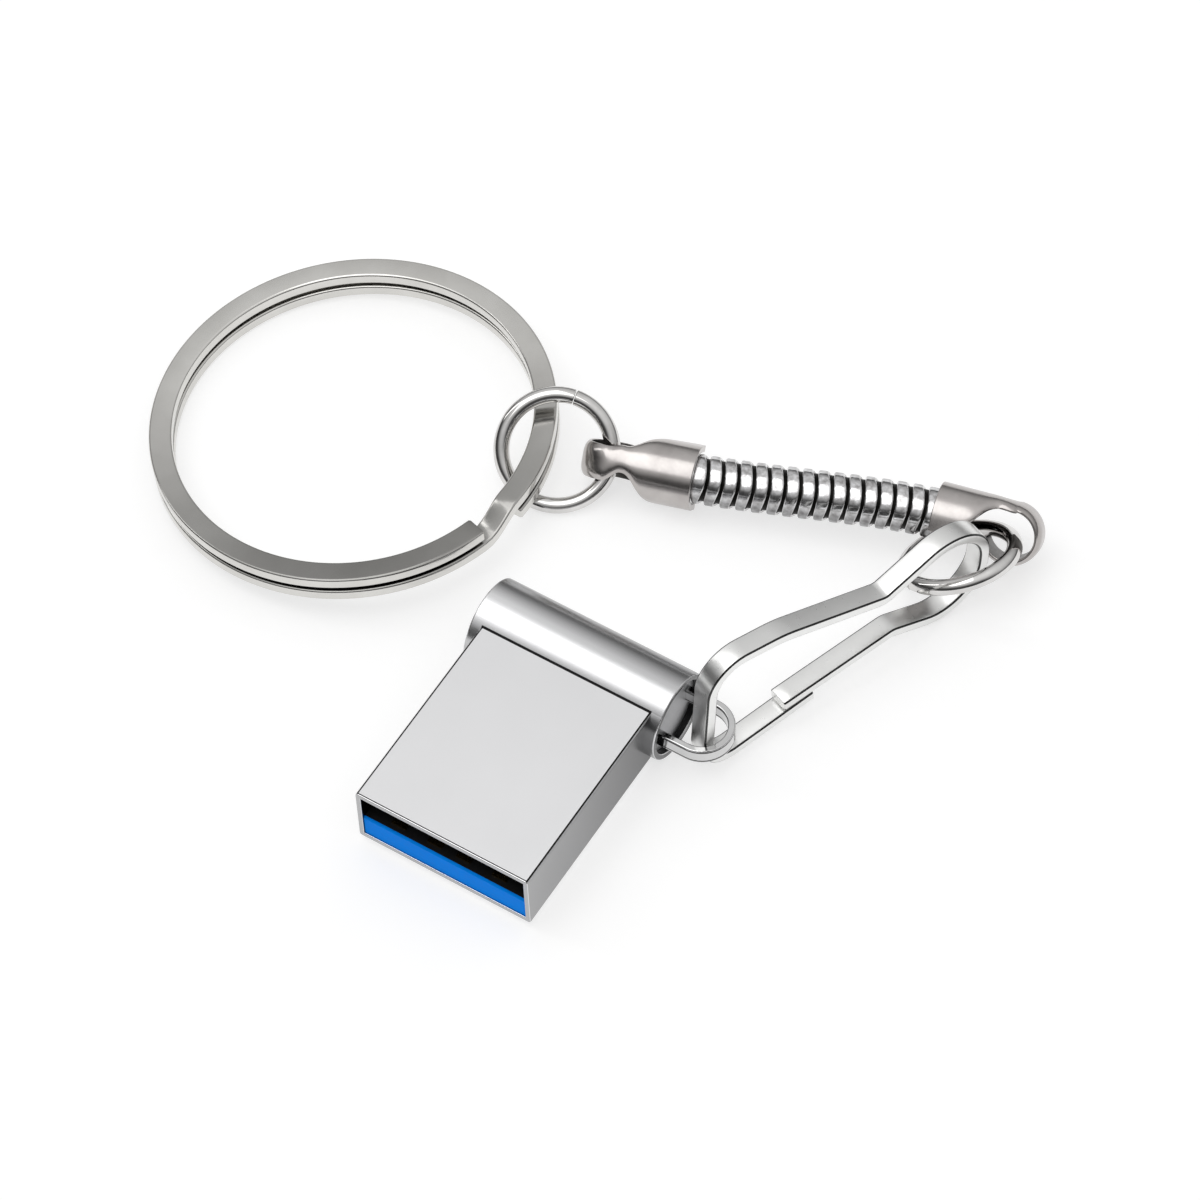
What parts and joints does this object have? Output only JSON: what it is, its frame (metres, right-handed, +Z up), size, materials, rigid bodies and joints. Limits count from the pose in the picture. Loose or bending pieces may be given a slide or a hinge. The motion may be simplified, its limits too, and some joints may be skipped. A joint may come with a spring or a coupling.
{
  "type": "usb flash drive",
  "caption": "Short metal flash drive with a flat plug and a round barrel end, on a snap hook, a short snake chain and a split key ring.",
  "frame": {"origin": "centre of the plug's mouth, on its front plane", "axes": "+X across the plug towards the lanyard loop, +Y from the mouth into the drive, +Z up out of the drive's top face"},
  "size_m": [0.0534, 0.039, 0.01],
  "materials": {
    "shell_steel": "satin nickel plate",
    "wire_steel": "polished plate",
    "chain_steel": "polished plate",
    "ring_steel": "polished nickel plate",
    "blue_insulator": "satin moulded",
    "contact_metal": "gold plated",
    "board": "solder mask",
    "package": "moulded epoxy"
  },
  "bodies": {
    "drive": {"drive_shell": "shell_steel", "tongue_insulator": "blue_insulator", "contact_board": "board", "plug_pad_1": "contact_metal", "plug_pad_2": "contact_metal", "plug_pad_3": "contact_metal", "plug_pad_4": "contact_metal", "fast_contact_1": "contact_metal", "fast_contact_2": "contact_metal", "fast_contact_3": "contact_metal", "fast_contact_4": "contact_metal", "fast_contact_5": "contact_metal", "circuit_board": "board", "controller_chip": "package", "memory_chip": "package", "crystal": "package", "capacitor_1": "package", "capacitor_2": "package", "capacitor_3": "package", "end_disc_right": "shell_steel", "end_disc_left": "shell_steel", "lanyard_loop": "shell_steel"},
    "hook": {"hook_frame": "wire_steel"},
    "gate": {"hook_gate": "wire_steel"},
    "far_ring": {"far_jump_ring": "ring_steel"},
    "far_clip": {"far_chain_clip": "wire_steel", "far_chain_end": "chain_steel"},
    "link_16": {"chain_link_16": "chain_steel"},
    "link_15": {"chain_link_15": "chain_steel"},
    "link_14": {"chain_link_14": "chain_steel"},
    "link_13": {"chain_link_13": "chain_steel"},
    "link_12": {"chain_link_12": "chain_steel"},
    "link_11": {"chain_link_11": "chain_steel"},
    "link_10": {"chain_link_10": "chain_steel"},
    "link_09": {"chain_link_09": "chain_steel"},
    "link_08": {"chain_link_08": "chain_steel"},
    "link_07": {"chain_link_07": "chain_steel"},
    "link_06": {"chain_link_06": "chain_steel"},
    "link_05": {"chain_link_05": "chain_steel"},
    "link_04": {"chain_link_04": "chain_steel"},
    "link_03": {"chain_link_03": "chain_steel"},
    "link_02": {"chain_link_02": "chain_steel"},
    "link_01": {"chain_link_01": "chain_steel"},
    "near_clip": {"near_chain_clip": "wire_steel", "near_chain_end": "chain_steel"},
    "near_ring": {"near_jump_ring": "ring_steel"},
    "split_ring": {"key_ring": "ring_steel"}
  },
  "joints": [
    {"name": "hook_swing", "type": "hinge", "parent": "drive", "child": "hook", "pos_m": [0.00835, 0.01545, 0], "axis": [0, 0, 1], "range_deg": [-135, 10]},
    {"name": "gate_press", "type": "hinge", "parent": "hook", "child": "gate", "pos_m": [0.01318, 0.02669, -0.00096], "axis": [-0.9367, 0.3502, 0], "range_deg": [0, 16], "stiffness_Nm_per_rad": 0.01, "springref_deg": -2.86},
    {"name": "far_ring_tilt", "type": "hinge", "parent": "hook", "child": "far_ring", "pos_m": [0.01474, 0.03086, 0.00027], "axis": [0.9367, -0.3502, 0], "range_deg": [-20, 20]},
    {"name": "far_clip_slide", "type": "hinge", "parent": "far_ring", "child": "far_clip", "pos_m": [0.015, 0.03415, -0.00055], "axis": [-0.433, 0.25, 0.866], "range_deg": [-15, 10]},
    {"name": "chain_side_17", "type": "hinge", "parent": "far_clip", "child": "link_16", "pos_m": [0.0126, 0.03596, -0.00005], "axis": [-0.0004, -0.0001, -1], "range_deg": [-1, 5]},
    {"name": "chain_up_16", "type": "hinge", "parent": "link_16", "child": "link_15", "pos_m": [0.01168, 0.0357, -0.00006], "axis": [0.2805, -0.9598, 0], "range_deg": [-5, 5]},
    {"name": "chain_side_15", "type": "hinge", "parent": "link_15", "child": "link_14", "pos_m": [0.01076, 0.03542, -0.00008], "axis": [0.0247, 0.0078, -0.9997], "range_deg": [-1, 5]},
    {"name": "chain_up_14", "type": "hinge", "parent": "link_14", "child": "link_13", "pos_m": [0.00985, 0.03512, -0.00011], "axis": [0.318, -0.9481, 0], "range_deg": [-5, 5]},
    {"name": "chain_side_13", "type": "hinge", "parent": "link_13", "child": "link_12", "pos_m": [0.00894, 0.03481, -0.00014], "axis": [0.038, 0.0133, -0.9992], "range_deg": [-1, 5]},
    {"name": "chain_up_12", "type": "hinge", "parent": "link_12", "child": "link_11", "pos_m": [0.00803, 0.03449, -0.00018], "axis": [0.338, -0.9412, 0], "range_deg": [-5, 5]},
    {"name": "chain_side_11", "type": "hinge", "parent": "link_11", "child": "link_10", "pos_m": [0.00713, 0.03416, -0.00023], "axis": [0.0447, 0.0164, -0.9989], "range_deg": [-1, 5]},
    {"name": "chain_up_10", "type": "hinge", "parent": "link_10", "child": "link_09", "pos_m": [0.00623, 0.03383, -0.00028], "axis": [0.3475, -0.9377, 0], "range_deg": [-5, 5]},
    {"name": "chain_side_09", "type": "hinge", "parent": "link_09", "child": "link_08", "pos_m": [0.00534, 0.0335, -0.00032], "axis": [0.0472, 0.0176, -0.9987], "range_deg": [-1, 5]},
    {"name": "chain_up_08", "type": "hinge", "parent": "link_08", "child": "link_07", "pos_m": [0.00444, 0.03316, -0.00037], "axis": [0.3501, -0.9367, 0], "range_deg": [-5, 5]},
    {"name": "chain_side_07", "type": "hinge", "parent": "link_07", "child": "link_06", "pos_m": [0.00354, 0.03283, -0.00042], "axis": [0.0464, 0.0173, -0.9988], "range_deg": [-1, 5]},
    {"name": "chain_up_06", "type": "hinge", "parent": "link_06", "child": "link_05", "pos_m": [0.00264, 0.03249, -0.00047], "axis": [0.3464, -0.9381, 0], "range_deg": [-5, 5]},
    {"name": "chain_side_05", "type": "hinge", "parent": "link_05", "child": "link_04", "pos_m": [0.00174, 0.03216, -0.00051], "axis": [0.042, 0.0153, -0.999], "range_deg": [-1, 5]},
    {"name": "chain_up_04", "type": "hinge", "parent": "link_04", "child": "link_03", "pos_m": [0.00084, 0.03184, -0.00055], "axis": [0.3353, -0.9421, 0], "range_deg": [-5, 5]},
    {"name": "chain_side_03", "type": "hinge", "parent": "link_03", "child": "link_02", "pos_m": [-0.00007, 0.03152, -0.00059], "axis": [0.0324, 0.0111, -0.9994], "range_deg": [-1, 5]},
    {"name": "chain_up_02", "type": "hinge", "parent": "link_02", "child": "link_01", "pos_m": [-0.00098, 0.03121, -0.00062], "axis": [0.3128, -0.9498, 0], "range_deg": [-5, 5]},
    {"name": "chain_side_01", "type": "hinge", "parent": "link_01", "child": "near_clip", "pos_m": [-0.00189, 0.03092, -0.00064], "axis": [0.014, 0.0043, -0.9999], "range_deg": [-1, 5]},
    {"name": "near_ring_flip", "type": "hinge", "parent": "near_clip", "child": "near_ring", "pos_m": [-0.00674, 0.02934, -0.00052], "axis": [-0.2069, 0.7454, 0.6337], "range_deg": [-35, 20]},
    {"name": "key_ring_spin", "type": "hinge", "parent": "near_ring", "child": "split_ring", "pos_m": [-0.0217, 0.02363, -0.00173], "axis": [-0.0877, 0.0144, 0.996], "continuous": true}
  ]
}
